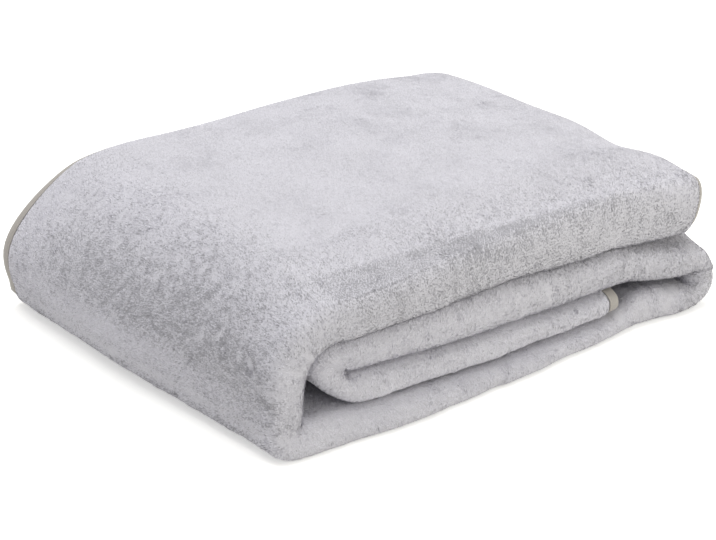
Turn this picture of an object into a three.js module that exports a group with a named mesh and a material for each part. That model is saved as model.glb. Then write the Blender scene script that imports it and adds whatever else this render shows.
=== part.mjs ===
// A plush throw blanket, folded for a shelf, in millimetres with +Z up.
//
// The cut cloth is folded twice:
//   1. across its width, in four, into a long strip: its folds face the front, and its bound
//      long edges lie at the back, on the strip's outer side;
//   2. along its length, as a flat roll: from the free end over the top, down the left side,
//      along the bottom, round the right side, back inside, round a nose and out again.
// place() carries a point of the flat cloth through both folds, so the cloth and the tape that
// binds its edge keep their clearances wherever they go. The cloth ends in a thin tongue that
// sits in the slot of the tape.
import * as THREE from "three";

// Driving dimensions.
const CUT_LENGTH = 1520; // of the blanket, along the folded strip
const CUT_WIDTH = 1270; // across it
const CORNER = 40; // radius of the blanket's corners
const CLOTH = 5.9; // thickness of the cloth with the pile of both its faces
const PITCH = 6.4; // from one layer of the strip to the next
const PACK_LENGTH = 418; // of the folded blanket, from its left side to its right side
const PACK_DEPTH = 326; // from its front to its back

// The tape: a folded strip that holds the edge of the cloth in its slot.
const TAPE = { width: 9, thickness: 4.4, slot: 2.6, web: 1.2, gap: 0.6 };
const TONGUE = TAPE.slot - 2 * TAPE.gap; // thickness of the cloth's edge inside the slot

// First fold, seen from the strip's end: x from the front fold to the back, y from the middle of
// the strip to its outer side. It starts at the outermost bound edge; the other bound edge lies
// right under it, where the cut width ends.
const OUTER_LAYER = 1.5 * PITCH; // of the outer layers, from the middle of the strip
const FRONT_BEND = 8; // of the outer layers, at the front fold, which is nearly round
const TIGHT_BEND = 0.5 * PITCH; // of the inner layers
const BACK = PACK_DEPTH - CLOTH;
const INNER_FRONT = 17.3; // of the inner fold, behind the outer one
const EDGES = BACK + 3; // of both bound edges
const LAYERS = [
  { x: EDGES, y: OUTER_LAYER, bend: 0 },
  { x: 0, y: OUTER_LAYER, bend: FRONT_BEND },
  { x: 0, y: -OUTER_LAYER, bend: FRONT_BEND },
  { x: BACK, y: -OUTER_LAYER, bend: TIGHT_BEND },
  { x: BACK, y: -TIGHT_BEND, bend: TIGHT_BEND },
  { x: INNER_FRONT, y: -TIGHT_BEND, bend: TIGHT_BEND },
  { x: INNER_FRONT, y: TIGHT_BEND, bend: TIGHT_BEND },
  { x: EDGES, y: TIGHT_BEND, bend: 0 },
];

// Second fold, seen from the front: x from the left side, y up, along the middle of the strip.
// It starts at the free end on top; the inner end lies where the cut length ends. lip is by how
// much the strip's front fold stands back there, and loose spreads the strip's four layers.
const STRIP = 3 * PITCH + CLOTH; // thickness of the strip
const LEVEL = STRIP + 2; // from one run of the strip to the run above it
const LOOSE = 1.35; // of the run on top, which nothing weighs down
const LOW = STRIP / 2; // height of the bottom run
const TOP = 3 * LEVEL + (LOOSE * STRIP) / 2;
const LEFT = 18.5; // of the left side's run, which stands loose
const RIGHT = PACK_LENGTH - LOW;
const RIGHT_BEND = 14.5; // leaves a small eye inside the right side
const RIGHT_HIGH = LOW + 45; // where the right side turns inward
const NOSE = 49; // of the inner nose, clear of the left side
const NOSE_BEND = LEVEL / 2 - 0.2;
const RUNS = [
  { x: 410, y: TOP - 2, bend: 0, lip: 2, loose: LOOSE },
  { x: 340, y: TOP, bend: 90, lip: 2, loose: LOOSE },
  { x: LEFT, y: TOP, bend: 44, lip: 0, loose: 1.42 },
  { x: LEFT, y: LOW, bend: LOW + 2, lip: 0, loose: 1.1 },
  { x: RIGHT, y: LOW, bend: RIGHT_BEND, lip: 0, loose: 1 },
  { x: RIGHT, y: RIGHT_HIGH, bend: 13.5, lip: 0, loose: 1 },
  { x: 384, y: RIGHT_HIGH, bend: 24, lip: 0, loose: 1 },
  { x: 338, y: LOW + 2 * LEVEL, bend: 24, lip: 1, loose: 1 },
  { x: NOSE, y: LOW + 2 * LEVEL, bend: NOSE_BEND, lip: 4, loose: 1 },
  { x: NOSE, y: LOW + LEVEL, bend: NOSE_BEND, lip: 7, loose: 1 },
  { x: 300, y: LOW + LEVEL + 1, bend: 0, lip: 1, loose: 0.93 },
];

// How the runs settle. The underside of the nose slips to the right, so that its upper part
// leans out over it: from is where the inner runs begin along the cloth.
const LEAN = { down: 22, near: 70, far: 165, from: 960 };
// The height that each level of the flat roll takes: at the front, for each place along it, in
// the middle of the depth and at the back.
const FRONT_AT = [35, 90, 210, 318, 352, 392];
const SETTLED = [
  { level: 0, front: [0, 0, 0, 0, 0, 0], middle: 0, back: 0 },
  { level: STRIP, front: [23.5, 20.5, 15, 14.5, 27.5, 22], middle: 24.5, back: 23 },
  { level: LEVEL + STRIP, front: [47, 47, 38, 34, 34, 34], middle: 51, back: 46 },
  { level: 2 * LEVEL + STRIP, front: [72.5, 72.5, 69.5, 61, 58.5, 60], middle: 79, back: 71 },
  { level: 3 * LEVEL + LOOSE * STRIP, front: [104, 104, 104, 104, 103, 101], middle: 114, back: 101 },
];
const FRONT_REACH = 68; // how far back the front's heights fade
const BACK_REACH = 150;
const CROWN = { middle: 0.62, rise: 0.09, level: 120 }; // along the length, as shares of it
// The foot is pressed out on the shelf, on the left and along the front as far as ends.
const FOOT = { near: 8, far: 14, front: 4, level: 24, from: 60, reach: 40, ends: [290, 350] };
const BULGE = { near: 2, far: 16, from: 90, middle: 39, top: 105, reach: 200 }; // of the left side
// The bound edges turn down and inward at the back.
const TURNED = { from: 295, reach: 28, down: 0.07, inward: 1.5 };
// The free end on top, which lies between these levels: it turns down as a whole, except at the
// front, and again right at its edge, and its lower layers lie further in.
const END = { low: 66, high: 80, top: 115 };
const DROOP = { from: 378, reach: 32, down: 0.09, near: 10, far: 100 };
const END_LIP = { from: 394, reach: 16, down: 0.065, lower: 0.04 }; // lower: of the lowest layer
const SLANT = { inward: 16, from: 345, to: 410 };
// Its near corner turns back from the front, and its lower layers reach further out.
const TIP = { from: 385, reach: 25, back: 12, depth: 60, longer: 4, spread: 80, lower: 0.35 };
// Where the front stands forward of a straight line, or behind it.
const SWELLS = [
  { x: 115, reach: 60, forward: 6 },
  { x: 330, reach: 90, forward: -8 },
];
const SWELL_DEPTH = 130;
// Where the layers lie higher or lower, by how much at HEAP_LEVEL.
const HEAPS = [
  { x: 90, y: 320, reach: 70, rise: 5 },
  { x: 385, y: 335, reach: 60, rise: -8 },
  { x: 405, y: 200, reach: 95, rise: -9.5 },
  { x: 415, y: 85, reach: 45, rise: -11 },
];
const HEAP_LEVEL = 110;

// How the folds are cut into facets: the layers all at the same depths and the runs at the same
// places along, so that they nest.
const SHOULDER = TAPE.width + TAPE.gap; // of the cloth, just clear of the tape
const EDGE = [TAPE.web + TAPE.gap, SHOULDER, SHOULDER + 1.2, CORNER * 0.6, CORNER];
const DEPTHS = [INNER_FRONT + TIGHT_BEND, 50, 190, EDGES - CORNER, EDGES - CORNER * 0.6];
const PLACES = [150, 318, 352];
const WIDE_TURN = 0.53; // of one facet round a wide bend
const TURN = 0.8; // and round the others
const WIDE_BEND = 40;

// A route of straight runs with a round bend at each inner corner.
function makeRoute(corners) {
  const points = corners.map((corner) => new THREE.Vector2(corner.x, corner.y));
  const headings = points.slice(1).map((point, i) => point.clone().sub(points[i]).normalize());
  const pieces = [];
  let length = 0;
  let from = points[0];
  const add = (piece) => {
    pieces.push({ ...piece, start: length });
    length += piece.length;
  };
  corners.slice(1).forEach((corner, i) => {
    const into = headings[i];
    const out = headings[i + 1] ?? into;
    const turn = Math.atan2(into.cross(out), into.dot(out));
    const reach = corner.bend * Math.tan(Math.abs(turn) / 2);
    const to = points[i + 1].clone().addScaledVector(into, -reach);
    add({ length: to.distanceTo(from), from, angle: into.angle(), turn: 0 });
    if (corner.bend) {
      add({ length: corner.bend * Math.abs(turn), from: to, angle: into.angle(), turn });
    }
    from = points[i + 1].clone().addScaledVector(out, reach);
  });
  return { pieces: pieces.filter((piece) => piece.length > 1e-6), length };
}

// The point at a distance along a route, and the direction to the right of the route there.
function routeAt(route, distance) {
  const piece = route.pieces.findLast((candidate) => candidate.start <= distance) ?? route.pieces[0];
  const share = (distance - piece.start) / piece.length;
  const angle = piece.angle + piece.turn * share;
  const right = new THREE.Vector2(Math.sin(angle), -Math.cos(angle));
  if (!piece.turn) {
    const ahead = new THREE.Vector2(Math.cos(angle), Math.sin(angle));
    return { point: piece.from.clone().addScaledVector(ahead, share * piece.length), right };
  }
  const bend = piece.length / piece.turn;
  const first = new THREE.Vector2(Math.sin(piece.angle), -Math.cos(piece.angle));
  const centre = piece.from.clone().addScaledVector(first, -bend);
  return { point: centre.addScaledVector(right, bend), right };
}

// Sets the last corner of a route so that the route is as long as the cut cloth.
function cutRoute(corners, length) {
  const last = corners.length - 1;
  const extra = length - makeRoute(corners).length;
  const heading = Math.sign(corners[last].x - corners[last - 1].x);
  const end = { ...corners[last], x: corners[last].x + heading * extra };
  return makeRoute([...corners.slice(0, last), end]);
}

const section = cutRoute(LAYERS, CUT_WIDTH);
const roll = cutRoute(RUNS, CUT_LENGTH);

// A value from a table, in straight lines between its rows.
function tableAt(rows, key, at, value) {
  const next = Math.max(1, rows.findIndex((row) => row[key] >= at));
  const [low, high] = at > rows.at(-1)[key] ? rows.slice(-2) : [rows[next - 1], rows[next]];
  return low[value] + ((high[value] - low[value]) * (at - low[key])) / (high[key] - low[key]);
}

// The corners of the roll by their place along the cloth, from one end to the other.
const turns = roll.pieces.filter((piece) => piece.turn);
const corners = RUNS.map((corner, i) => {
  const turn = turns[i - 1];
  const inner = turn ? turn.start + turn.length / 2 : CUT_LENGTH;
  return { at: i ? inner : 0, lip: corner.lip, loose: corner.loose };
});

// The settled heights of each level at one place along the front.
function levelsAt(x) {
  const share = (i) => THREE.MathUtils.smoothstep(x, FRONT_AT[i - 1], FRONT_AT[i]);
  return SETTLED.map(({ level, front, middle, back }) => {
    const steps = front.slice(1).map((height, i) => share(i + 1) * (height - front[i]));
    return { level, middle, back, front: steps.reduce((sum, step) => sum + step, front[0]) };
  });
}

// How far a turn has got: the square of the share of its reach.
const past = (at, { from, reach }) => Math.max(0, (at - from) / reach) ** 2;

// Where the settled blanket takes a point of the flat roll.
function settle(x, depth, level, lip) {
  const { smoothstep, clamp } = THREE.MathUtils;
  const levels = levelsAt(x);
  const above = Math.max(0, level);
  const heights = ["front", "middle", "back"].map((column) => tableAt(levels, "level", above, column));
  const front = 1 - smoothstep(depth, 0, FRONT_REACH);
  const back = smoothstep(depth, BACK - BACK_REACH, BACK + BACK_REACH / 4);
  const low = heights[1] + front * (heights[0] - heights[1]) + back * (heights[2] - heights[1]);
  const along = (x / PACK_LENGTH - CROWN.middle) / CROWN.middle;
  const turned = past(depth, TURNED);
  const atEnd = smoothstep(level, END.low, END.high);
  const under = clamp((END.top - level) / (END.top - END.high), 0, 1);
  const lipDown = END_LIP.down + (END_LIP.lower - END_LIP.down) * under;
  const droop =
    DROOP.down * past(x, DROOP) * smoothstep(depth, DROOP.near, DROOP.far) + lipDown * past(x, END_LIP);
  const crowned = low * (1 + (CROWN.rise * (1 - along * along) * low) / CROWN.level);
  const z = crowned * (1 - TURNED.down * turned) * (1 - droop * atEnd);
  const y = depth + lip * (1 - depth / BACK);
  // The left side bulges, more towards the back, and its foot is pressed out.
  const foot = 1 - smoothstep(z, 0, FOOT.level);
  const far = smoothstep(y, 0, BULGE.reach);
  const swell = clamp(z / BULGE.middle, 0, 1);
  const swollen = swell * (2 - swell) * (1 - smoothstep(z, BULGE.middle, BULGE.top));
  const bulge = swollen * (BULGE.near + (BULGE.far - BULGE.near) * far);
  const pressed = (FOOT.near + (FOOT.far - FOOT.near) * far) * foot;
  const bulged = (bulge - TURNED.inward * turned) * (1 - smoothstep(x, 0, BULGE.from));
  const tip = 1 - smoothstep(depth, 0, TIP.spread);
  const inward = SLANT.inward * under * (1 - TIP.lower * tip) - TIP.longer * tip;
  const slanted = inward * atEnd * smoothstep(x, SLANT.from, SLANT.to);
  const left = pressed * (1 - smoothstep(x, 0, FOOT.from)) + bulged + slanted;
  // The front swells forward here and there, and its foot with it.
  const hump = (away, reach) => Math.exp(-((away / reach) ** 2));
  const sum = (values) => values.reduce((total, value) => total + value, 0);
  const swells = sum(SWELLS.map((row) => row.forward * hump(x - row.x, row.reach)));
  const press = FOOT.front * foot * (1 - smoothstep(y, 0, FOOT.reach)) * (1 - smoothstep(x, ...FOOT.ends));
  const turnedBack = TIP.back * past(x, TIP) * (1 - smoothstep(depth, 0, TIP.depth)) * atEnd;
  const forward = swells * (1 - smoothstep(depth, 0, SWELL_DEPTH)) + press - turnedBack;
  const rise = sum(HEAPS.map((row) => row.rise * hump(Math.hypot(x - row.x, y - row.y), row.reach)));
  return new THREE.Vector3(x - left, y - forward, z * (1 + rise / HEAP_LEVEL));
}

// The point of the folded blanket at (u, v) of the flat cloth, out from its middle by n.
function place(u, v, n) {
  const { smoothstep } = THREE.MathUtils;
  const layer = routeAt(section, v);
  const depth = layer.point.x + n * layer.right.x;
  const out = (layer.point.y + n * layer.right.y) * tableAt(corners, "at", u, "loose");
  const run = routeAt(roll, u);
  const x = run.point.x + out * run.right.x;
  const level = run.point.y + out * run.right.y;
  const slip = LEAN.down * (1 - smoothstep(level, LEVEL, LEVEL + 2 * STRIP));
  const slipped = u > LEAN.from ? slip * (1 - smoothstep(x, LEAN.near, LEAN.far)) : 0;
  return settle(x + slipped, depth, level, tableAt(corners, "at", u, "lip"));
}

// The stations that cut a route into facets, at the given places along its straight runs, with
// the stations of the cloth's edge at both ends.
function stations(route, places) {
  const inner = route.pieces.flatMap((piece) => {
    const widest = piece.length / Math.abs(piece.turn) > WIDE_BEND ? WIDE_TURN : TURN;
    const steps = Math.ceil(Math.abs(piece.turn) / widest);
    const round = Array.from({ length: Math.max(0, steps - 1) }, (_, i) => (i + 1) / steps);
    const straight = places
      .map((place) => (place - piece.from.x) / (Math.cos(piece.angle) * piece.length))
      .filter((share) => share > 0.02 && share < 0.98)
      .sort((a, b) => a - b);
    return [0, ...(piece.turn ? round : straight)].map((share) => piece.start + share * piece.length);
  });
  const clear = CORNER + 1;
  const middle = inner.filter((at) => at > clear && at < route.length - clear);
  return [...EDGE, ...middle, ...EDGE.map((inset) => route.length - inset).reverse()];
}
const along = stations(roll, PLACES);
const across = stations(section, DEPTHS);

// Rounds the corners of the flat cloth: squares about a corner's centre become rings.
function rounded(u, v) {
  const centre = new THREE.Vector2(
    THREE.MathUtils.clamp(u, CORNER, CUT_LENGTH - CORNER),
    THREE.MathUtils.clamp(v, CORNER, CUT_WIDTH - CORNER),
  );
  const reach = new THREE.Vector2(u - centre.x, v - centre.y);
  const [wide, high] = [Math.abs(reach.x), Math.abs(reach.y)];
  if (wide < 1e-9 || high < 1e-9) return new THREE.Vector2(u, v);
  const ring = Math.max(wide, high);
  const lean = ((Math.PI / 4) * Math.min(wide, high)) / ring;
  const angle = wide > high ? lean : Math.PI / 2 - lean;
  const out = new THREE.Vector2(Math.sign(reach.x) * Math.cos(angle), Math.sign(reach.y) * Math.sin(angle));
  return centre.addScaledVector(out, ring);
}

function placeRounded(u, v, n) {
  const flat = rounded(u, v);
  return place(flat.x, flat.y, n);
}

// A closed body from its points and its quads.
function makeMesh(name, points, quads, material) {
  const geometry = new THREE.BufferGeometry();
  const numbers = points.flatMap((point) => point.toArray());
  geometry.setAttribute("position", new THREE.Float32BufferAttribute(numbers, 3));
  geometry.setIndex(quads.flatMap(([a, b, c, d]) => [a, b, c, a, c, d]));
  geometry.computeVertexNormals();
  const mesh = new THREE.Mesh(geometry, material);
  mesh.name = name;
  return mesh;
}

// Each quad splits along the same line in every layer, so that neighbouring layers nest: the
// other diagonal where the layer between stations j and j + 1 runs to the back.
const isBackwards = (j) => routeAt(section, (across[j] + across[j + 1]) / 2).right.y < 0;
const turnQuad = ([first, ...others]) => [...others, first];

// The cloth: two faces over the stations, closed round the edge, thinner where the tape holds it.
function makeBlanket(material) {
  const [rows, columns] = [along.length, across.length];
  const inEdge = (at, length) => Math.min(at, length - at) < EDGE[2] - 0.1;
  const face = (side) =>
    along.flatMap((u) =>
      across.map((v) => {
        const thin = inEdge(u, CUT_LENGTH) || inEdge(v, CUT_WIDTH);
        return placeRounded(u, v, (side * (thin ? TONGUE : CLOTH)) / 2);
      }),
    );
  const at = (side, i, j) => (side > 0 ? 0 : rows * columns) + i * columns + j;
  const split = (corners, j) => (isBackwards(j) ? turnQuad(corners) : corners);
  const quads = [];
  for (let i = 0; i < rows - 1; i += 1) {
    for (let j = 0; j < columns - 1; j += 1) {
      quads.push(split([at(1, i, j), at(1, i + 1, j), at(1, i + 1, j + 1), at(1, i, j + 1)], j));
      quads.push(split([at(-1, i, j), at(-1, i, j + 1), at(-1, i + 1, j + 1), at(-1, i + 1, j)], j));
    }
  }
  const rim = perimeter(rows, columns);
  rim.forEach(([i, j], k) => {
    const [nextI, nextJ] = rim[(k + 1) % rim.length];
    quads.push([at(1, i, j), at(-1, i, j), at(-1, nextI, nextJ), at(1, nextI, nextJ)]);
  });
  return makeMesh("blanket", [...face(1), ...face(-1)], quads, material);
}

// The stations round the edge of the grid, once round.
function perimeter(rows, columns) {
  const side = (count, pick) => Array.from({ length: count - 1 }, (_, k) => pick(k));
  return [
    ...side(rows, (k) => [k, 0]),
    ...side(columns, (k) => [rows - 1, k]),
    ...side(rows, (k) => [rows - 1 - k, columns - 1]),
    ...side(columns, (k) => [0, columns - 1 - k]),
  ];
}

// The tape: its section, as a slotted strip, carried once round the edge of the cloth.
function makeBinding(material) {
  const { width, thickness, slot, web } = TAPE;
  const profile = [
    { inset: 0, n: thickness / 2 },
    { inset: width, n: thickness / 2 },
    { inset: width, n: slot / 2 },
    { inset: web, n: slot / 2 },
    { inset: web, n: -slot / 2 },
    { inset: width, n: -slot / 2 },
    { inset: width, n: -thickness / 2 },
    { inset: 0, n: -thickness / 2 },
  ];
  const from = EDGE[0]; // the cloth's edge, whose stations the tape shares
  const inward = (at, length, inset) => {
    const middle = THREE.MathUtils.clamp(at, CORNER, length - CORNER);
    return middle + ((at - middle) * (CORNER - inset)) / (CORNER - from);
  };
  const rim = perimeter(along.length, across.length);
  const points = rim.flatMap(([i, j]) =>
    profile.map(({ inset, n }) => {
      const u = inward(along[i], CUT_LENGTH, inset);
      const v = inward(across[j], CUT_WIDTH, inset);
      return placeRounded(u, v, n);
    }),
  );
  const quads = rim.flatMap(([, j], k) => {
    const next = (k + 1) % rim.length;
    const nextJ = rim[next][1];
    const backwards = isBackwards(Math.min(j, nextJ, across.length - 2));
    return profile.map(({ inset }, m) => {
      const over = (m + 1) % profile.length;
      const corners = [
        k * profile.length + m,
        next * profile.length + m,
        next * profile.length + over,
        k * profile.length + over,
      ];
      // The quad splits as the cloth inside it does.
      const asCloth = (profile[over].inset > inset) === ((j === nextJ) !== backwards);
      return asCloth ? corners : turnQuad(corners);
    });
  });
  return makeMesh("edge_binding", points, quads, material);
}

const plush = new THREE.MeshStandardMaterial({ color: 0xcfcdd2, roughness: 1 });
const satin = new THREE.MeshStandardMaterial({ color: 0xb4a89c, roughness: 0.5 });

const blanket = new THREE.Group();
blanket.add(makeBlanket(plush), makeBinding(satin));

// The origin goes to the middle of the underside.
const box = new THREE.Box3().setFromObject(blanket);
const centre = box.getCenter(new THREE.Vector3());
blanket.children.forEach((mesh) => mesh.geometry.translate(-centre.x, -centre.y, -box.min.z));

export default blanket;
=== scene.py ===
"""A plush throw blanket with a tape-bound edge, folded for a shelf.

The flat cloth is folded twice: in four across its width, into a strip, and then as a flat roll
along its length. place() carries a point of the flat cloth through both folds, as the part's own
source does, and the cloth, its tape, the tape's stitches and the tufts of the pile all lie on
it. Lengths are in millimetres until a mesh is made, in metres.
"""
import math

import bpy
import numpy as np
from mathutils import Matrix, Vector


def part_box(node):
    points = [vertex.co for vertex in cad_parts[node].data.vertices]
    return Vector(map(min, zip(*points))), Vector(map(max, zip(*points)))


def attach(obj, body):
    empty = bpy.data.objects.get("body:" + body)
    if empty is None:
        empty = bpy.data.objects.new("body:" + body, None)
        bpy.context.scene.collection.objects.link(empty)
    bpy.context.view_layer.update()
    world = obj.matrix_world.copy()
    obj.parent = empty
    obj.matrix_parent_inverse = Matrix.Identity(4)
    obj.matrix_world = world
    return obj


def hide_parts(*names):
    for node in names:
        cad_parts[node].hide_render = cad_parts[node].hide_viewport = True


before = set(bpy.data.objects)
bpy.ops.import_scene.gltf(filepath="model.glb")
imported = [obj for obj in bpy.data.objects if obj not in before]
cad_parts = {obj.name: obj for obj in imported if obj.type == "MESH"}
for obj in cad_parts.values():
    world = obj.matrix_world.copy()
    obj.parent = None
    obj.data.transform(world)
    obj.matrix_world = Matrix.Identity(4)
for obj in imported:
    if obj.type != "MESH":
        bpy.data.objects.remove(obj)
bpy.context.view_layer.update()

METRE = 0.001  # a millimetre, in metres

# ---------------------------------------------------------------- sizes
CUT_LENGTH = 1520.0  # along the folded strip
CUT_WIDTH = 1270.0  # across it
CORNER = 40.0
CLOTH = 5.9
PITCH = 6.4
PACK_LENGTH = 418.0
PACK_DEPTH = 326.0

TAPE_WIDTH = 9.0
TAPE_THICKNESS = 4.4
TAPE_SLOT = 2.6
TAPE_WEB = 1.2
TAPE_GAP = 0.6
TONGUE = TAPE_SLOT - 2 * TAPE_GAP

OUTER_LAYER = 1.5 * PITCH
FRONT_BEND = 8.0
TIGHT_BEND = 0.5 * PITCH
BACK = PACK_DEPTH - CLOTH
INNER_FRONT = 17.3
EDGES = BACK + 3
# First fold, from the strip's end: (from the front, out from the strip's middle, bend).
LAYERS = [
    (EDGES, OUTER_LAYER, 0),
    (0, OUTER_LAYER, FRONT_BEND),
    (0, -OUTER_LAYER, FRONT_BEND),
    (BACK, -OUTER_LAYER, TIGHT_BEND),
    (BACK, -TIGHT_BEND, TIGHT_BEND),
    (INNER_FRONT, -TIGHT_BEND, TIGHT_BEND),
    (INNER_FRONT, TIGHT_BEND, TIGHT_BEND),
    (EDGES, TIGHT_BEND, 0),
]

STRIP = 3 * PITCH + CLOTH
LEVEL = STRIP + 2
LOOSE = 1.35
LOW = STRIP / 2
TOP = 3 * LEVEL + LOOSE * STRIP / 2
LEFT = 18.5
RIGHT = PACK_LENGTH - LOW
RIGHT_BEND = 14.5
RIGHT_HIGH = LOW + 45
NOSE = 49.0
NOSE_BEND = LEVEL / 2 - 0.2
# Second fold, from the front: (x, height, bend, how far the lip stands back, how loose).
RUNS = [
    (410, TOP - 2, 0, 2, LOOSE),
    (340, TOP, 90, 2, LOOSE),
    (LEFT, TOP, 44, 0, 1.42),
    (LEFT, LOW, LOW + 2, 0, 1.1),
    (RIGHT, LOW, RIGHT_BEND, 0, 1),
    (RIGHT, RIGHT_HIGH, 13.5, 0, 1),
    (384, RIGHT_HIGH, 24, 0, 1),
    (338, LOW + 2 * LEVEL, 24, 1, 1),
    (NOSE, LOW + 2 * LEVEL, NOSE_BEND, 4, 1),
    (NOSE, LOW + LEVEL, NOSE_BEND, 7, 1),
    (300, LOW + LEVEL + 1, 0, 1, 0.93),
]
# The nose's lower part lies further right than its upper part, from this far along the cloth.
SLIP, SLIP_NEAR, SLIP_FAR, SLIP_FROM = 22.0, 70.0, 165.0, 960.0
# The height that each level settles to: (level, front at each of FRONT_AT, middle, back).
FRONT_AT = [35.0, 90.0, 210.0, 318.0, 352.0, 392.0]
SETTLED = [
    (0, 0, 0, 0, 0, 0, 0, 0, 0),
    (STRIP, 23.5, 20.5, 15, 14.5, 27.5, 22, 24.5, 23),
    (LEVEL + STRIP, 47, 47, 38, 34, 34, 34, 51, 46),
    (2 * LEVEL + STRIP, 72.5, 72.5, 69.5, 61, 58.5, 60, 79, 71),
    (3 * LEVEL + LOOSE * STRIP, 104, 104, 104, 104, 103, 101, 114, 101),
]
FRONT_REACH = 68.0  # how far back the front's heights fade
BACK_REACH = 150.0
CROWN_MIDDLE, CROWN_RISE, CROWN_LEVEL = 0.62, 0.09, 120.0
# The foot is pressed out on the shelf: on the left at the front and the back, and along the front.
FOOT_NEAR, FOOT_FAR, FOOT_FRONT = 8.0, 14.0, 4.0
FOOT_LEVEL, FOOT_FROM, FOOT_REACH = 24.0, 60.0, 40.0
FOOT_ENDS = (290.0, 350.0)  # along the front, where it is no longer pressed out
# The left side bulges, most at the height BULGE_MIDDLE and more towards the back.
BULGE_NEAR, BULGE_BACK = 2.0, 16.0
BULGE_FROM, BULGE_FAR, BULGE_MIDDLE, BULGE_TOP = 90.0, 200.0, 39.0, 105.0
# How far the front swells forward: (x, reach, forward).
FRONT_SWELLS = [(115, 60, 6), (330, 90, -8)]
SWELL_DEPTH = 130.0
# Where the pile of layers stands higher or lower: (x, y, reach, rise at the top).
HEAPS = [(90, 320, 70, 5), (385, 335, 60, -8), (405, 200, 95, -9.5), (415, 85, 45, -11)]
HEAP_LEVEL = 110.0
# The bound edges turn down and in at the back.
TURN_FROM, TURN_REACH, TURN_DOWN, TURN_IN = 295.0, 28.0, 0.07, 1.5
# The free end on top turns down as a whole, and again right at its lip, and its lower layers lie
# further in. It starts between the levels END_LOW and END_HIGH, and its upper side is at END_TOP.
END_LOW, END_HIGH, END_TOP = 66.0, 80.0, 115.0
DROOP_FROM, DROOP_REACH, DROOP_DOWN, DROOP_NEAR, DROOP_FAR = 378.0, 32.0, 0.09, 10.0, 100.0
LIP_FROM, LIP_REACH, LIP_DOWN, LIP_LOWER = 394.0, 16.0, 0.065, 0.04
SLANT, SLANT_FROM, SLANT_TO = 16.0, 345.0, 410.0
# Its near corner turns back from the front, and its lower layers reach further out.
TIP_FROM, TIP_REACH, TIP_BACK, TIP_DEPTH = 385.0, 25.0, 12.0, 60.0
TIP_LONGER, TIP_SPREAD, TIP_LOWER = 4.0, 80.0, 0.35


# ---------------------------------------------------------------- the two folds
def smooth(value, low, high):
    """From 0 at low to 1 at high, with no corner at either."""
    share = np.clip((value - low) / (high - low), 0, 1)
    return share * share * (3 - 2 * share)


NO_LENGTH = 1e-6  # a shorter piece of a route is left out


def make_route(corners):
    """Straight runs with a round bend at each corner: (start, length, from x, y, angle, turn)."""
    points = [np.array(corner[:2], float) for corner in corners]
    headings = [(b - a) / np.linalg.norm(b - a) for a, b in zip(points, points[1:])]
    pieces = []
    length = 0.0
    begin = points[0]
    for i, corner in enumerate(corners[1:]):
        into = headings[i]
        out = headings[min(i + 1, len(headings) - 1)]
        turn = math.atan2(into[0] * out[1] - into[1] * out[0], into @ out)
        reach = corner[2] * math.tan(abs(turn) / 2)
        end = points[i + 1] - reach * into
        angle = math.atan2(into[1], into[0])
        straight = float(np.linalg.norm(end - begin))
        pieces.append((length, straight, *begin, angle, 0.0))
        length += straight
        if turn:
            pieces.append((length, corner[2] * abs(turn), *end, angle, turn))
            length += corner[2] * abs(turn)
        begin = points[i + 1] + reach * out
    return [piece for piece in pieces if piece[1] > NO_LENGTH], length


def cut_route(corners, length):
    """The route with its end, which runs in +x, moved so that it is as long as the cut cloth."""
    extra = length - make_route(corners)[1]
    last_x, *rest = corners[-1]
    return make_route([*corners[:-1], (last_x + extra, *rest)])[0]


def route_at(pieces, distance):
    """The point at each distance along a route, and the direction to the route's right there."""
    starts = np.array([piece[0] for piece in pieces])
    which = np.clip(np.searchsorted(starts, distance, side="right") - 1, 0, len(pieces) - 1)
    start, length, x, y, angle, turn = np.array(pieces).T[:, which]
    share = (distance - start) / length
    heading = angle + turn * share
    right_x, right_y = np.sin(heading), -np.cos(heading)
    bend = length / np.where(turn == 0, 1, turn)
    turned_x = x + bend * (right_x - np.sin(angle))
    turned_y = y + bend * (right_y + np.cos(angle))
    straight_x = x + np.cos(angle) * share * length
    straight_y = y + np.sin(angle) * share * length
    return (
        np.where(turn == 0, straight_x, turned_x),
        np.where(turn == 0, straight_y, turned_y),
        right_x,
        right_y,
    )


section = cut_route(LAYERS, CUT_WIDTH)
roll = cut_route(RUNS, CUT_LENGTH)
turns = [piece[0] + piece[1] / 2 for piece in roll if piece[5]]
corner_at = [0.0, *turns, CUT_LENGTH]


def past(value, start, reach):
    """How far a turn has got: the square of the share of its reach."""
    return np.clip((value - start) / reach, 0, None) ** 2


def settled_height(x, depth, level):
    """The height that a level of the flat roll settles to, with its crown along the length."""
    levels, *columns = np.array(SETTLED).T
    *fronts, middle, rear = (np.interp(level, levels, column) for column in columns)
    front = 1 - smooth(depth, 0, FRONT_REACH)
    back = smooth(depth, BACK - BACK_REACH, BACK + BACK_REACH / 4)
    at_front = fronts[0]
    for i in range(len(FRONT_AT) - 1):
        at_front = at_front + smooth(x, FRONT_AT[i], FRONT_AT[i + 1]) * (fronts[i + 1] - fronts[i])
    low = middle + front * (at_front - middle) + back * (rear - middle)
    along = (x / PACK_LENGTH - CROWN_MIDDLE) / CROWN_MIDDLE
    return low * (1 + CROWN_RISE * (1 - along * along) * low / CROWN_LEVEL)


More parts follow.
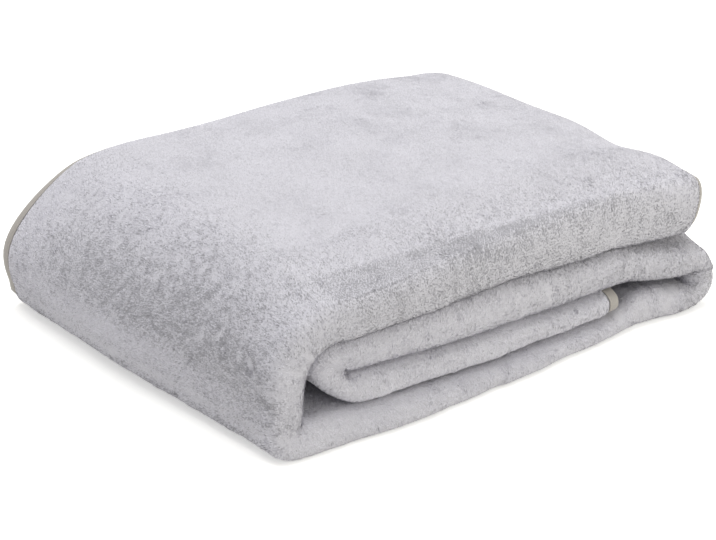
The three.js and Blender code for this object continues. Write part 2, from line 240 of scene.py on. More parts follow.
def settle(x, depth, level, lip):
    """Where the settled blanket takes a point of the flat roll."""
    turned = past(depth, TURN_FROM, TURN_REACH)
    at_end = smooth(level, END_LOW, END_HIGH)
    under = np.clip((END_TOP - level) / (END_TOP - END_HIGH), 0, 1)
    droop = DROOP_DOWN * past(x, DROOP_FROM, DROOP_REACH) * smooth(depth, DROOP_NEAR, DROOP_FAR)
    lip_down = LIP_DOWN + (LIP_LOWER - LIP_DOWN) * under
    droop += lip_down * past(x, LIP_FROM, LIP_REACH)
    z = settled_height(x, depth, level) * (1 - TURN_DOWN * turned) * (1 - droop * at_end)
    y = depth + lip * (1 - depth / BACK)
    # The left side bulges, its foot is pressed out, and the free end's layers lie staggered.
    foot = 1 - smooth(z, 0, FOOT_LEVEL)
    far = smooth(y, 0, BULGE_FAR)
    swell = np.clip(z / BULGE_MIDDLE, 0, 1)
    bulge = swell * (2 - swell) * (1 - smooth(z, BULGE_MIDDLE, BULGE_TOP))
    bulge = bulge * (BULGE_NEAR + (BULGE_BACK - BULGE_NEAR) * far)
    left = (FOOT_NEAR + (FOOT_FAR - FOOT_NEAR) * far) * foot * (1 - smooth(x, 0, FOOT_FROM))
    left += (bulge - TURN_IN * turned) * (1 - smooth(x, 0, BULGE_FROM))
    tip = 1 - smooth(depth, 0, TIP_SPREAD)
    inward = SLANT * under * (1 - TIP_LOWER * tip) - TIP_LONGER * tip
    left += inward * at_end * smooth(x, SLANT_FROM, SLANT_TO)
    # The front swells forward here and there, with its foot, and turns back at the tip.
    forward = sum(size * np.exp(-(((x - swell_x) / reach) ** 2)) for swell_x, reach, size in FRONT_SWELLS)
    forward = forward * (1 - smooth(depth, 0, SWELL_DEPTH))
    forward -= TIP_BACK * past(x, TIP_FROM, TIP_REACH) * (1 - smooth(depth, 0, TIP_DEPTH)) * at_end
    forward += FOOT_FRONT * foot * (1 - smooth(y, 0, FOOT_REACH)) * (1 - smooth(x, *FOOT_ENDS))
    heap = sum(
        rise * np.exp(-((x - heap_x) ** 2 + (y - heap_y) ** 2) / reach**2)
        for heap_x, heap_y, reach, rise in HEAPS
    )
    return np.stack([x - left, y - forward, z + heap * z / HEAP_LEVEL], axis=-1)


def lattice(cells, seed):
    """A number from -1 to 1 for each whole point of space, always the same one."""
    mixed = cells[..., 0] * 73856093 ^ cells[..., 1] * 19349663 ^ cells[..., 2] * 83492791 ^ seed * 2654435
    mixed = (mixed ^ (mixed >> 13)) * 1274126177 & 0xFFFFFFFF
    return ((mixed ^ (mixed >> 16)) & 0xFFFF) / 32767.5 - 1


# The lattice of the noise stands askew, so that no hollow follows the cloth's own directions.
ASKEW = np.linalg.qr(np.array([[3.0, -1.0, 2.0], [1.0, 4.0, -2.0], [-2.0, 1.0, 3.0]]))[0]
STEEPEST = 1.6  # brings the slopes' blend to about -1 to 1


def noise(points, size, seed):
    """Soft unevenness from -1 to 1, whose hollows and humps are about size apart."""
    scaled = points @ ASKEW / size
    cells = np.floor(scaled).astype(np.int64)
    within = scaled - cells
    share = smooth(within, 0, 1)
    total = np.zeros(points.shape[:-1])
    for corner in np.ndindex(2, 2, 2):
        weight = np.prod(np.where(corner, share, 1 - share), axis=-1)
        at_corner = cells + np.array(corner)
        slopes = [lattice(at_corner, 3 * seed + axis) for axis in range(3)]
        total += weight * sum(slope * (within[..., axis] - corner[axis]) for axis, slope in enumerate(slopes))
    return STEEPEST * total


def along_noise(value, size, seed):
    """The same along one measure."""
    zero = np.zeros_like(value)
    return noise(np.stack([value, zero, zero], axis=-1), size, seed)


# The lips wave back and forth: (how far, waves about this far apart, seed).
LIP_WAVES = [(2.2, 55, 1), (0.9, 21, 2)]
WAVES_REACH = 70.0  # how far back they fade
# Everything above the underside drifts a little along x, y and z.
DRIFT, DRIFT_SIZE, DRIFT_SEEDS = np.array([1.2, 1.2, 1.8]), 80.0, (3, 4, 5)
DRIFT_LOW, DRIFT_HIGH = 2.0, 26.0


def loosen(points, u, depth):
    """Moves the settled folds off their even shape, more at the lips, and leaves the underside flat."""
    lip = 1 - smooth(depth, 0, WAVES_REACH)
    free = smooth(points[..., 2], DRIFT_LOW, DRIFT_HIGH)
    wave = sum(height * along_noise(u, size, seed) for height, size, seed in LIP_WAVES)
    slow = np.stack([noise(points, DRIFT_SIZE, seed) for seed in DRIFT_SEEDS], axis=-1)
    moved = points + free[..., None] * slow * DRIFT
    moved[..., 1] += lip * wave
    return moved


def place(u, v, n):
    """The folded blanket's points at (u, v) of the flat cloth, out from its middle by n."""
    depth, out, right_depth, right_out = route_at(section, v)
    depth = depth + n * right_depth
    out = (out + n * right_out) * np.interp(u, corner_at, [corner[4] for corner in RUNS])
    x, level, right_x, right_level = route_at(roll, u)
    lip = np.interp(u, corner_at, [corner[3] for corner in RUNS])
    x = x + out * right_x
    level = level + out * right_level
    slip = SLIP * (1 - smooth(level, LEVEL, LEVEL + 2 * STRIP))
    x = x + slip * (1 - smooth(x, SLIP_NEAR, SLIP_FAR)) * (u > SLIP_FROM)
    settled = settle(x, depth, level, lip)
    return loosen(settled, u, depth)


# ---------------------------------------------------------------- the flat cloth
def steps(rows):
    """Stations from a table of stretches: (from, to, the step there)."""
    stretches = [np.linspace(a, b, max(1, round((b - a) / step)), endpoint=False) for a, b, step in rows]
    return np.concatenate([*stretches, [rows[-1][1]]])


TONGUE_AT = TAPE_WEB + TAPE_GAP  # of the cloth's own edge, in from the tape's
SHOULDER = TAPE_WIDTH + TAPE_GAP  # where the cloth leaves the tape
SHOULDER_STEPS = [SHOULDER + further for further in (0, 0.4, 1, 2, 3.5)]
EDGE_STEPS = [TONGUE_AT, 5, *SHOULDER_STEPS, 16, 20, 25, 30, 35]
# The stations are close together round the bends that show, and far apart where none do.
along = np.concatenate(
    [
        EDGE_STEPS,
        steps([(CORNER, 560, 5), (560, 830, 11), (830, 890, 2.6), (890, 960, 5), (960, 1205, 8)]),
        steps([(1208, 1258, 3.5), (1266, CUT_LENGTH - CORNER, 8)]),
        CUT_LENGTH - np.array(EDGE_STEPS[::-1]),
    ]
)
across = np.concatenate(
    [
        EDGE_STEPS,
        steps([(CORNER, 290, 6), (290, 365, 2.3), (365, 425, 7), (425, 645, 22), (645, 667, 1.6)]),
        steps([(675, 950, 22), (954, 981, 2.2), (990, CUT_WIDTH - CORNER, 22)]),
        CUT_WIDTH - np.array(EDGE_STEPS[::-1]),
    ]
)


def rounded(u, v):
    """Rounds the corners of the flat cloth: squares about a corner's centre become rings."""
    centre_u = np.clip(u, CORNER, CUT_LENGTH - CORNER)
    centre_v = np.clip(v, CORNER, CUT_WIDTH - CORNER)
    reach_u, reach_v = u - centre_u, v - centre_v
    wide, high = np.abs(reach_u), np.abs(reach_v)
    ring = np.maximum(wide, high)
    lean = np.minimum(wide, high) / np.maximum(ring, 1e-9) * math.pi / 4
    angle = np.where(wide > high, lean, math.pi / 2 - lean)
    in_corner = (wide > 0) & (high > 0)
    return (
        np.where(in_corner, centre_u + np.sign(reach_u) * ring * np.cos(angle), u),
        np.where(in_corner, centre_v + np.sign(reach_v) * ring * np.sin(angle), v),
    )


def edge_distance(u, v):
    """How far in from the outer edge of the tape a station of the grid lies."""
    return np.minimum(np.minimum(u, CUT_LENGTH - u), np.minimum(v, CUT_WIDTH - v))


ROUNDING = 4.0  # of the cloth's edge beside the tape


def half_thickness(inset):
    """The cloth's, which rounds down to the tongue that the tape holds."""
    rise = np.sqrt(np.clip((inset - SHOULDER) / ROUNDING, 0, 1))
    return (TONGUE + (CLOTH - TONGUE) * rise) / 2


grid_u, grid_v = np.meshgrid(along, across, indexing="ij")
# The frame's origin, in the folds' own coordinates.
outline = np.concatenate([place(grid_u, grid_v, side * CLOTH / 2).reshape(-1, 3) for side in (1, -1)])
cad_low, cad_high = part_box("blanket")
origin = (outline.min(0) + outline.max(0)) / 2 - np.array((cad_low + cad_high) / 2) / METRE
origin[2] = 0


def at(u, v, n):
    """place(), in metres and in the frame."""
    return (place(u, v, n) - origin) * METRE


# ---------------------------------------------------------------- meshes
def make_piece(name, points, faces, material, normals=None, flat=None):
    """A mesh of equal faces that rides on the frame's one body; flat is for its material."""
    mesh = bpy.data.meshes.new(name)
    mesh.vertices.add(len(points))
    mesh.vertices.foreach_set("co", points.astype(np.float32).ravel())
    mesh.loops.add(faces.size)
    mesh.loops.foreach_set("vertex_index", faces.astype(np.int32).ravel())
    mesh.polygons.add(len(faces))
    mesh.polygons.foreach_set("loop_start", np.arange(0, faces.size, faces.shape[1], dtype=np.int32))
    mesh.update(calc_edges=True)
    mesh.validate()
    mesh.shade_smooth()
    if normals is not None:
        mesh.normals_split_custom_set_from_vertices(normals)
    if flat is not None:
        mesh.attributes.new("flat", "FLOAT_VECTOR", "POINT").data.foreach_set("vector", flat.ravel())
    mesh.materials.append(material)
    piece = bpy.data.objects.new(name, mesh)
    bpy.context.scene.collection.objects.link(piece)
    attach(piece, "root")
    return piece


# Small creases pressed into the outer face: (u, v, angle from u, length, width, depth).
CREASES = [
    (404, 299, 50, 5, 2.4, 3.0),  # the pucker at the near corner
    (410, 304, 20, 8, 4.0, 1.0),
    (420, 313, 10, 12, 4.5, 1.2),
    (412, 318, 75, 9, 4.0, 0.9),
    (370, 329, 85, 7, 4.0, 0.6),  # the lip, where it turns down
    (383, 330, 95, 7, 3.5, 0.6),
    (396, 330, 85, 7, 4.0, 1.0),
    (180, 150, 35, 60, 14, 1.0),  # broad and soft, on top
    (250, 235, 15, 70, 16, 1.2),
    (110, 230, 120, 50, 14, 1.0),
]
LUMP, LUMP_SIZE, LUMP_SEED = 0.5, 13.0, 31
CLUMP, CLUMP_SIZE, CLUMP_SEED = 0.28, 4.5, 32
LUMPS_BEGIN, LUMPS_FULL = 10.0, 22.0  # in from the edge
# The line across the top where it turns over to the lip, at the free end and per length of u.
LIP_AT_END, LIP_SLOPE, LIP_SLOPE_ENDS = 325.0, 0.12, 350.0
LIP_WIDTH = 14.0
# Where the pile gets ruffled: along v, before and past that line, along v at the back, along u.
RUFFLED_FRONT, RUFFLED_BACK, RUFFLED_SIDE = (-60, 5), (640, 650), (300, 392)
RUFFLED_LEAST = 0.16


def lip_begins(u):
    """Where, across the cloth, the top turns over to the lip: further back towards the left."""
    return LIP_AT_END - LIP_SLOPE * np.minimum(u, LIP_SLOPE_ENDS)


def ruffled(u, v):
    """How far the pile is ruffled: least on top at the back, and 1 on the left and at the front."""
    front = smooth(v - lip_begins(u), *RUFFLED_FRONT) * (1 - smooth(v, *RUFFLED_BACK))
    side = smooth(u, *RUFFLED_SIDE)
    return RUFFLED_LEAST + (1 - RUFFLED_LEAST) * np.maximum(front, side)


def surface(u, v):
    """How far out from the cloth's middle its outer face lies: lumpy, and pressed in by creases."""
    flat = np.stack([u, v, 0 * u], -1)
    out = LUMP * noise(flat, LUMP_SIZE, LUMP_SEED) + CLUMP * noise(flat, CLUMP_SIZE, CLUMP_SEED)
    out = out * ruffled(u, v)
    for crease_u, crease_v, angle, length, width, depth in CREASES:
        way = math.radians(angle)
        ahead = (u - crease_u) * math.cos(way) + (v - crease_v) * math.sin(way)
        aside = (v - crease_v) * math.cos(way) - (u - crease_u) * math.sin(way)
        out -= depth * np.exp(-((ahead / length) ** 2) - (aside / width) ** 2)
    inset = edge_distance(u, v)
    return half_thickness(inset) + out * smooth(inset, LUMPS_BEGIN, LUMPS_FULL)


def make_cloth(material):
    """The sheet: two faces over the stations, closed round the tongue."""
    rows, columns = grid_u.shape
    flat_u, flat_v = rounded(grid_u, grid_v)
    inner = -half_thickness(edge_distance(grid_u, grid_v))
    outer = surface(grid_u, grid_v)
    points = np.concatenate([at(flat_u, flat_v, n).reshape(-1, 3) for n in (outer, inner)])
    points[:, 2] = np.maximum(points[:, 2], 0)
    flat = np.stack([flat_u, flat_v, 0 * flat_u], -1).reshape(-1, 3)
    number = np.arange(rows * columns).reshape(rows, columns)
    quads = np.stack([number[:-1, :-1], number[1:, :-1], number[1:, 1:], number[:-1, 1:]], -1).reshape(-1, 4)
    rim = np.concatenate([number[:-1, 0], number[-1, :-1], number[:0:-1, -1], number[0, :0:-1]])
    beyond = np.roll(rim, -1)
    under = rows * columns
    walls = np.stack([rim, rim + under, beyond + under, beyond], -1)
    faces = np.concatenate([quads, quads[:, ::-1] + under, walls])
    return make_piece("plush_cloth", points, faces, material, flat=np.concatenate([flat, flat]))


CORNER_STEP = 7.5  # of the edge round a corner of the cloth, in degrees


def rim_stations():
    """Once round the blanket's edge: each station's point of the flat cloth, and the way in."""
    turn = np.radians(np.arange(0, 90, CORNER_STEP))
    runs = [
        (along, lambda far: (far, 0 * far, 0 * far, 0 * far + 1)),
        (across, lambda far: (0 * far + CUT_LENGTH, far, 0 * far - 1, 0 * far)),
        (along[::-1], lambda far: (far, 0 * far + CUT_WIDTH, 0 * far, 0 * far - 1)),
        (across[::-1], lambda far: (0 * far, far, 0 * far + 1, 0 * far)),
    ]
    centres = [
        (CUT_LENGTH - CORNER, CORNER, -90),
        (CUT_LENGTH - CORNER, CUT_WIDTH - CORNER, 0),
        (CORNER, CUT_WIDTH - CORNER, 90),
        (CORNER, CORNER, 180),
    ]
    parts = []
    for (stations, side), (centre_u, centre_v, first) in zip(runs, centres):
        middle = stations[(stations > CORNER) & (stations < stations.max() + TONGUE_AT - CORNER)]
        parts.append(np.stack(side(middle)))
        angle = turn + math.radians(first)
        out_u, out_v = np.cos(angle), np.sin(angle)
        parts.append(np.stack([centre_u + CORNER * out_u, centre_v + CORNER * out_v, -out_u, -out_v]))
    return np.concatenate(parts, axis=1)


def lengths(u, v):
    """How far along each station lies."""
    return np.concatenate([[0], np.cumsum(np.hypot(np.diff(u), np.diff(v)))])


# The tape's section, from its outer fold round to its slot: (in from the edge, out from the middle).
OUTER, SLOT = TAPE_THICKNESS / 2, TAPE_SLOT / 2
GROOVE_AT, GROOVE = 0.84 * TAPE_WIDTH, 0.9 * OUTER  # where the stitches lie
TAPE_SECTION = [
    (0, 0),
    (0.2, 0.55 * OUTER),
    (0.8, 0.88 * OUTER),
    (1.9, OUTER),
    (0.5 * TAPE_WIDTH, 1.04 * OUTER),
    (0.8 * TAPE_WIDTH, 0.97 * OUTER),
    (GROOVE_AT, GROOVE),
    (0.88 * TAPE_WIDTH, 0.97 * OUTER),
    (TAPE_WIDTH - 0.2, 0.96 * OUTER),
    (TAPE_WIDTH, 0.85 * OUTER),
    (TAPE_WIDTH, SLOT),
    (TAPE_WEB + 0.4, SLOT),
    (TAPE_WEB, 0.6 * SLOT),
]


def make_tape(material):
    """The tape, once round the cloth's edge."""
    section_points = [*TAPE_SECTION, *[(inset, -n) for inset, n in TAPE_SECTION[:0:-1]]]
    inset, n = np.array(section_points).T
    u, v, in_u, in_v = (row[:, None] for row in rim_stations())
    points = at(u + in_u * inset, v + in_v * inset, n + 0 * u)
    count, sides = points.shape[:2]
    number = np.arange(count * sides).reshape(count, sides)
    after = np.roll(number, -1, axis=0)
    quads = np.stack([number, after, np.roll(after, -1, axis=1), np.roll(number, -1, axis=1)], -1)
    length = lengths(u[:, 0], v[:, 0])[:, None]
    flat = np.stack(np.broadcast_arrays(length, inset, n), -1).reshape(-1, 3)
    return make_piece("edge_tape", points.reshape(-1, 3), quads.reshape(-1, 4), material, flat=flat)


STITCH_PITCH, STITCH_LENGTH, STITCH_WIDTH, STITCH_HEIGHT = 3.0, 2.1, 0.55, 0.3


def make_stitches(material):
    """Two rows of stitches, one on each face of the tape, in the groove that they pull into it."""
    u, v, in_u, in_v = rim_stations()
    length = lengths(u, v)
    middle = np.arange(0, length[-1], STITCH_PITCH)

    def on_tape(shift, aside, height, side):
        """One corner of every stitch, moved along the row, across it, and out from the tape."""
        here = middle + shift
        now_u, now_v, now_in_u, now_in_v = (np.interp(here, length, row) for row in (u, v, in_u, in_v))
        inset = GROOVE_AT + aside
        return at(now_u + now_in_u * inset, now_v + now_in_v * inset, side * (GROOVE + height))

    points, faces = [], []
    count = len(middle)
    for side in (1, -1):
        corners = [
            on_tape(-STITCH_LENGTH / 2, 0, 0, side),
            on_tape(0, -STITCH_WIDTH / 2, 0, side),
            on_tape(STITCH_LENGTH / 2, 0, 0, side),
            on_tape(0, STITCH_WIDTH / 2, 0, side),
            on_tape(0, 0, STITCH_HEIGHT, side),
        ]
        first = sum(len(part) for part in points) + len(corners) * np.arange(count)[:, None]
        round_top = np.array([(0, 1, 4), (1, 2, 4), (2, 3, 4), (3, 0, 4)])[:, ::side]
        faces.append((first[:, :, None] + round_top[None]).reshape(-1, 3))
        points.append(np.stack(corners, 1).reshape(-1, 3))
    return make_piece("tape_stitches", np.concatenate(points), np.concatenate(faces), material)


# Where the pile shows, on the flat cloth: (u from, to, v from, to, spacing of the tufts).
PILE_EDGE = SHOULDER + 0.6
PILE_END = CUT_LENGTH - SHOULDER - 0.6
PILE = [
    (PILE_EDGE, 347, PILE_EDGE, 255, 0.95),  # top
    (PILE_EDGE, 347, 254.4, 291.8, 0.88),  # top, beside the lip
    (346.4, 470, PILE_EDGE, 292, 0.79),  # left side, where the bend draws the tufts apart
    (PILE_EDGE, PILE_END, 291.4, 360, 0.87),  # the folds at the front
    (815, 935, PILE_EDGE, 292, 1.15),  # right side
    (PILE_EDGE, PILE_END, 640, 672, 1.5),  # the folds at the back
    (440, 620, 360, 400, 1.15),  # inside the pocket at the left
    (1190, 1290, 360, 400, 1.15),  # the nose
    (780, 960, 360, 392, 1.15),  # inside the eye at the right
]
PROBE = 0.5  # how far aside a second point lies that gives the slope of the cloth
# The pieces of the pile, from the darkest tufts to the lightest, as darker and lighter copies of the plush
# that carry painted shade and light as well as its tone: (share of the tufts, shade).
PILE_PIECES = [(0.14, 0.6), (0.2, 0.82), (0.22, 0.97), (0.22, 1.04), (0.22, 1.12)]
TUFT_LENGTH, TUFT_SPREAD = 2.6, 0.7  # the longest are longer than the shortest by this share
TUFT_WIDTH, WIDTH_SHARES = 0.9, (0.75, 1.25)
TUFT_WIDEST = 0.45  # of the way from its root to its tip
TUFT_SINK = 0.5
# How the nap turns and leans: (by how much, patches about this far apart, seed).
TURNS, TURN_OWN = [(0.6, 110, 21), (0.7, 30, 22), (0.5, 7, 23)], 0.3
LEANS, LEAN_OWN = [(0.3, 60, 24), (0.5, 9, 25)], 0.2
LEAN_LOW, LEAN_HIGH = 16.0, 40.0  # of a tuft above the cloth, in degrees
LEAN_MIDDLE, LEAN_LEAST, LEAN_MOST = 0.5, -0.4, 1.5  # shares of the way from low to high
ROLLS, ROLL_OWN = [(0.35, 3.5, 26)], 0.5
OWN_TILT = 0.75  # how far a tuft is shaded by its own face, and not as the cloth under it
ALONG, ACROSS = 0.3, 0.2  # the bow of its face, as its edges' and its ends' shading
# Where the pile is painted darker or lighter, partly for the nap's patches and partly as painted shade and
# painted light on the left side and at the near corner: (u, v, reach along u, reach along v, darker by).
NAP_AND_PAINTED_SHADING = [
    (402, 150, 16, 120, 0.8),  # left side: painted shade where it turns down from the top
    (365, 110, 18, 60, -0.4),
    (400, 25, 30, 35, -0.9),
    (432, 150, 12, 140, -1.0),
    (414, 275, 22, 42, 0.7),  # near corner
    # painted shade in the pucker at the near corner, and in the crease beside it
    (404, 299, 3.5, 3.5, 4.0),
    (419, 315, 4, 5, 2.0),
    (374, 235, 22, 45, 0.3),
    (404, 328, 14, 8, -0.8),
]
FLECKS, FLECKS_OWN = [(0.6, 3, 27)], 0.6  # where it is ruffled
CLOUDS = [(0.1, 30, 28)]  # everywhere
# The outer face of the lip is brushed rough, and painted darker both for its brushed pile and as painted
# shade where it turns away from the overhead lamp. It fades in and out along u, and ends along v where it
# tucks in.
BRUSHED_AND_SHADED_DARKER, BRUSHED_AND_SHADED_IN, BRUSHED_AND_SHADED_OUT, BRUSHED_AND_SHADED_ENDS = 2.8, (0, 70), (290, 370), (336, 342)
# The folds below it are painted lighter, from FOLDS_BEGIN on: the bottom, and the nose. This is painted
# light, as of the white floor's bounce on the lower front.
FOLDS_BEGIN = (300, 315)
BOTTOM_PAINTED_LIGHT, BOTTOM_IN, BOTTOM_OUT = 1.1, (430, 470), (800, 830)
NOSE_PAINTED_LIGHT, NOSE_IN = 0.9, (1000, 1150)


def unit(vectors):
    """The same directions with a length of 1."""
    return vectors / np.linalg.norm(vectors, axis=-1, keepdims=True)


def patches(flat, rows):
    """The sum of noises over the flat cloth: (by how much, about how far apart, seed)."""
    return sum(height * noise(flat, size, seed) for height, size, seed in rows)


def tuft_spots(random):
    """Where the tufts stand on the flat cloth: one in each cell of a grid, anywhere in it."""
    spots = []
    for u_from, u_to, v_from, v_to, spacing in PILE:
        cells = np.mgrid[u_from:u_to:spacing, v_from:v_to:spacing].reshape(2, -1)
        spots.append(cells + random.uniform(0, spacing, cells.shape))
    return rounded(*np.concatenate(spots, axis=1))


def darkness(u, v, flat, rough, random):
    """How dark each tuft is painted: random flecks where it is ruffled, which stand for the shade deep
    between clumps, soft clouds of tone, and the painted shade and light of the patches, the lip's band and
    the lower folds.
    """
    dark = rough * (patches(flat, FLECKS) + random.normal(0, FLECKS_OWN, len(u))) + patches(flat, CLOUDS)
    # Patches of painted shade and painted light, over the nap's own patches.
    for patch_u, patch_v, reach_u, reach_v, darker in NAP_AND_PAINTED_SHADING:
        dark += darker * np.exp(-(((u - patch_u) / reach_u) ** 2) - ((v - patch_v) / reach_v) ** 2)
    # The lip's band: brushed pile, and painted shade where it faces away from the light.
    brushed_and_shaded = smooth(v - lip_begins(u), 0, LIP_WIDTH) * (1 - smooth(v, *BRUSHED_AND_SHADED_ENDS))
    dark += BRUSHED_AND_SHADED_DARKER * brushed_and_shaded * smooth(u, *BRUSHED_AND_SHADED_IN) * (1 - smooth(u, *BRUSHED_AND_SHADED_OUT))
    # Painted light on the lower folds at the front, where the floor's bounce falls.
    bottom = smooth(u, *BOTTOM_IN) * (1 - smooth(u, *BOTTOM_OUT))
    painted_light = BOTTOM_PAINTED_LIGHT * bottom + NOSE_PAINTED_LIGHT * smooth(u, *NOSE_IN)
    return dark - smooth(v, *FOLDS_BEGIN) * painted_light


def make_tufts(materials):
    """The pile: flat tufts that lie over one another, shared out among the pieces by shade."""
    random = np.random.default_rng(11)
    u, v = tuft_spots(random)
    here = at(u, v, surface(u, v))
    along_u = unit(at(u + PROBE, v, surface(u + PROBE, v)) - here)
    normal = unit(np.cross(at(u, v + PROBE, surface(u, v + PROBE)) - here, along_u))
    along_v = np.cross(along_u, normal)
    # None are needed on the underside, where it lies flat.
    shown = (here[:, 2] > CLOTH / 2 * METRE) | (normal[:, 2] > 0)
    u, v, here, normal, along_u, along_v = (row[shown] for row in (u, v, here, normal, along_u, along_v))
    count = len(u)
    flat = np.stack([u, v, 0 * u], -1)
    # The nap runs to the front, brushed a little to one side or the other.
    turn = patches(flat, TURNS)
    turn = (turn + math.pi / 2 + random.normal(0, TURN_OWN, count))[:, None]
    lean = LEAN_MIDDLE + patches(flat, LEANS) + random.normal(0, LEAN_OWN, count)
    lean = np.clip(lean, LEAN_LEAST, LEAN_MOST)
    lean = np.radians(LEAN_LOW + (LEAN_HIGH - LEAN_LOW) * lean)[:, None]
    nap = along_u * np.cos(turn) + along_v * np.sin(turn)
    ahead = nap * np.cos(lean) + normal * np.sin(lean)
    level_side = np.cross(normal, nap)
    # Each tuft is turned about its own length, and clumps of them are turned alike.
    rough = ruffled(u, v)
    roll = (rough * (ROLL_OWN * random.normal(0, 1, count) + patches(flat, ROLLS)))[:, None]
    side = level_side * np.cos(roll) + np.cross(ahead, level_side) * np.sin(roll)
    length = (TUFT_LENGTH * (1 + TUFT_SPREAD * random.uniform(-0.5, 0.5, count)))[:, None] * METRE
    half_wide = (TUFT_WIDTH * random.uniform(*WIDTH_SHARES, count))[:, None] * METRE / 2 * side
    root = here - TUFT_SINK * METRE * normal
    middle = root + TUFT_WIDEST * length * ahead
    points = np.stack([root, middle + half_wide, root + length * ahead, middle - half_wide], 1)
    points[..., 2] = np.maximum(points[..., 2], 0)
    shade = unit(OWN_TILT * np.cross(ahead, side) + (1 - OWN_TILT) * normal)
    bow = [-ACROSS * ahead, ALONG * side, ACROSS * ahead, -ALONG * side]
    normals = np.stack([unit(shade + part) for part in bow], 1)
    # The darkest tufts go into the first piece, and so on.
    order = np.argsort(-darkness(u, v, flat, rough, random), kind="stable")
    ends = np.cumsum([share * count for share, _ in PILE_PIECES]).round().astype(int)
    for i, (material, mine) in enumerate(zip(materials, np.split(order, ends[:-1]))):
        faces = np.arange(4 * len(mine)).reshape(-1, 4)[:, [0, 2, 1, 0, 3, 2]].reshape(-1, 3)
        corners, facing = points[mine].reshape(-1, 3), normals[mine].reshape(-1, 3)
        tufts = make_piece(f"pile_{i + 1}", corners, faces, material, facing)
        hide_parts("blanket")


# ---------------------------------------------------------------- materials
PLUSH = (0.675, 0.665, 0.72)
TAPE = (0.43, 0.402, 0.375)
THREAD = (0.52, 0.48, 0.44)
PLUSH_SHEEN, TAPE_SHEEN = (0.2, 0.6), (0.15, 0.4)  # (weight, roughness)
RIBS = 0.5  # scale of the tape's ribs
FLOOR_SIZE = 8.0  # in metres
FLOOR = (0.92, 0.915, 0.89)
FLOOR_GLOW = 0.45


def new_material(name, colour, roughness, sheen=None):
    """A material and its shader, with the sheen's weight and roughness if it has one."""
    material = bpy.data.materials.new(name)
    material.use_nodes = True
    shader = material.node_tree.nodes["Principled BSDF"]
    shader.inputs["Base Color"].default_value = (*colour, 1)
    shader.inputs["Roughness"].default_value = roughness
    if sheen:
        shader.inputs["Sheen Weight"].default_value = sheen[0]
        shader.inputs["Sheen Roughness"].default_value = sheen[1]
    return material, shader


def flat_places(nodes):
    """A node for the places on the flat cloth, or along the flat tape, in millimetres."""
    flat = nodes.new("ShaderNodeAttribute")
    flat.attribute_name = "flat"
    return flat


def flat_noise(nodes, links, scale, shares, detail):
    """Noise laid out on the flat cloth. A share below 1 draws it out that way, along u, v or n."""
    flat = flat_places(nodes)
    mapping = nodes.new("ShaderNodeMapping")
    mapping.inputs["Scale"].default_value = shares
    texture = nodes.new("ShaderNodeTexNoise")
    texture.inputs["Scale"].default_value = scale
    texture.inputs["Detail"].default_value = detail
    links.new(flat.outputs["Vector"], mapping.inputs["Vector"])
    links.new(mapping.outputs["Vector"], texture.inputs["Vector"])
    return texture.outputs["Fac"]


def tint(nodes, links, shader, fac, dark, light):
    """Varies the base colour between two colours."""
    ramp = nodes.new("ShaderNodeMix")
    ramp.data_type = "RGBA"
    ramp.inputs["A"].default_value = (*dark, 1)
    ramp.inputs["B"].default_value = (*light, 1)
    links.new(fac, ramp.inputs["Factor"])
    links.new(ramp.outputs["Result"], shader.inputs["Base Color"])


def bump(nodes, links, shader, height, distance, strength):
    """Fine relief, this distance high in millimetres at full strength."""
    relief = nodes.new("ShaderNodeBump")
    relief.inputs["Strength"].default_value = strength
    relief.inputs["Distance"].default_value = distance * METRE
    links.new(height, relief.inputs["Height"])
    links.new(relief.outputs["Normal"], shader.inputs["Normal"])


def shaded(colour, share):
    """A darker or lighter share of a colour."""
    return tuple(share * value for value in colour)


def plush_material():
    """The cloth under the pile: short hairs laid along the nap, which runs across the cloth."""
    material, shader = new_material("plush", PLUSH, roughness=0.95, sheen=PLUSH_SHEEN)
    nodes, links = material.node_tree.nodes, material.node_tree.links
    hairs = flat_noise(nodes, links, scale=0.9, shares=(1, 0.35, 1), detail=2)
    tint(nodes, links, shader, hairs, shaded(PLUSH, 0.78), shaded(PLUSH, 1.08))
    bump(nodes, links, shader, hairs, distance=0.8, strength=0.5)
    return material


def tape_material():
    """Narrow woven tape: fine ribs across it, a little slubby, with a low satin sheen."""
    material, shader = new_material("tape", TAPE, roughness=0.5, sheen=TAPE_SHEEN)
    nodes, links = material.node_tree.nodes, material.node_tree.links
    flat = flat_places(nodes)
    ribs = nodes.new("ShaderNodeTexWave")
    ribs.bands_direction = "X"
    ribs.inputs["Scale"].default_value = RIBS
    ribs.inputs["Distortion"].default_value = 0.6
    links.new(flat.outputs["Vector"], ribs.inputs["Vector"])
    slubs = flat_noise(nodes, links, scale=0.5, shares=(1, 3, 1), detail=3)
    tint(nodes, links, shader, slubs, shaded(TAPE, 0.86), shaded(TAPE, 1.1))
    bump(nodes, links, shader, ribs.outputs["Fac"], distance=0.15, strength=0.4)
    return material


def thread_material():
    """Plain sewing thread, a little lighter than the tape."""
    material, _ = new_material("thread", THREAD, roughness=0.6)
    return material


def pile_materials():
    """One plain material for each piece of the pile, a darker or lighter copy of the plush that carries
    painted shade and light as well as tone: its tufts are its detail.
    """
    materials = []
    for _, shade in PILE_PIECES:
        material, _ = new_material("pile", shaded(PLUSH, shade), roughness=1.0, sheen=PLUSH_SHEEN)
        materials.append(material)
    return materials


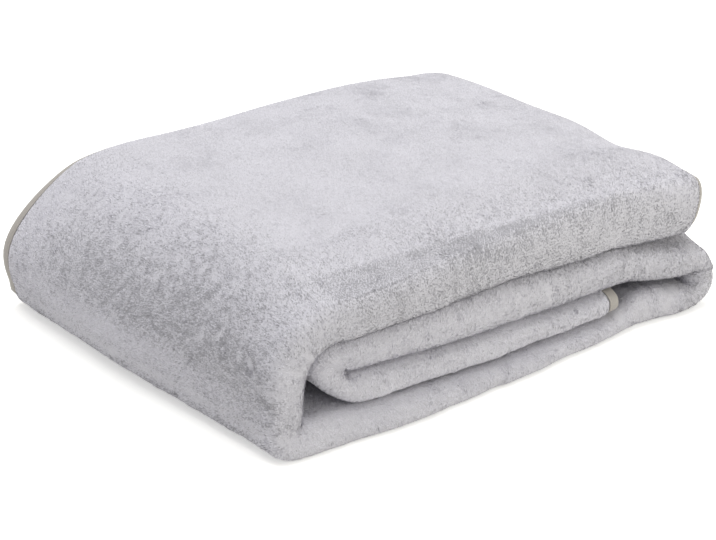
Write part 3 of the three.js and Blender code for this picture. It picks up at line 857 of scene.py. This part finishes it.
def floor_material():
    """A pale floor that glows a little, only as the camera sees it, so that it shows as white."""
    material, shader = new_material("floor", FLOOR, roughness=1.0)
    nodes, links = material.node_tree.nodes, material.node_tree.links
    shader.inputs["Specular IOR Level"].default_value = 0.0
    light_path = nodes.new("ShaderNodeLightPath")
    glow = nodes.new("ShaderNodeMath")
    glow.operation = "MULTIPLY"
    glow.inputs[1].default_value = FLOOR_GLOW
    links.new(light_path.outputs["Is Camera Ray"], glow.inputs[0])
    shader.inputs["Emission Color"].default_value = (1, 1, 1, 1)
    links.new(glow.outputs[0], shader.inputs["Emission Strength"])
    return material


# ---------------------------------------------------------------- the object
cloth_piece = make_cloth(plush_material())
tape_piece = make_tape(tape_material())
stitches = make_stitches(thread_material())
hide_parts("blanket")
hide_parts("edge_binding")
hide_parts("edge_binding")
make_tufts(pile_materials())

# ---------------------------------------------------------------- floor, light and camera
bpy.ops.mesh.primitive_plane_add(size=FLOOR_SIZE)
floor = bpy.context.object
floor.name = "floor"
floor.data.materials.append(floor_material())

CAMERA_AZIMUTH = math.radians(-37.4)
CAMERA_ELEVATION = math.radians(25.4)
CAMERA_DISTANCE = 2.163  # in metres
CAMERA_AIM = Vector((np.array([156.0, 103.4, 65.4]) - origin) * METRE)  # of the folds' coordinates
CAMERA_LENS = 150.8
SENSOR = 36.0

camera_data = bpy.data.cameras.new("camera")
camera_data.lens = CAMERA_LENS
camera_data.sensor_width = SENSOR
camera = bpy.data.objects.new("camera", camera_data)
bpy.context.scene.collection.objects.link(camera)
away = Vector(
    (
        math.sin(CAMERA_AZIMUTH) * math.cos(CAMERA_ELEVATION),
        -math.cos(CAMERA_AZIMUTH) * math.cos(CAMERA_ELEVATION),
        math.sin(CAMERA_ELEVATION),
    )
)
camera.location = CAMERA_AIM + CAMERA_DISTANCE * away
camera.rotation_mode = "QUATERNION"
camera.rotation_quaternion = away.to_track_quat("Z", "Y")
bpy.context.scene.camera = camera

WORLD_LIGHT = 0.5
# Soft lamps, aimed at the frame's origin: (name, place, size, power, colour), in metres and watts.
LAMPS = [
    ("overhead", (0.0, 0.35, 2.2), 2.4, 39, (1, 1, 0.985)),
    ("front", (0.9, -2.0, 0.75), 1.6, 15, (1, 0.98, 0.84)),
]

world = bpy.data.worlds.new("studio")
world.use_nodes = True
bpy.context.scene.world = world
world.node_tree.nodes["Background"].inputs["Color"].default_value = (1, 1, 1, 1)
world.node_tree.nodes["Background"].inputs["Strength"].default_value = WORLD_LIGHT
for lamp_name, lamp_place, lamp_size, lamp_power, lamp_colour in LAMPS:
    lamp = bpy.data.lights.new(lamp_name, "AREA")
    lamp.size = lamp_size
    lamp.energy = lamp_power
    lamp.color = lamp_colour
    holder = bpy.data.objects.new(lamp_name, lamp)
    holder.location = lamp_place
    holder.rotation_mode = "QUATERNION"
    holder.rotation_quaternion = Vector(lamp_place).to_track_quat("Z", "Y")
    bpy.context.scene.collection.objects.link(holder)
bpy.context.scene.view_settings.view_transform = "Standard"
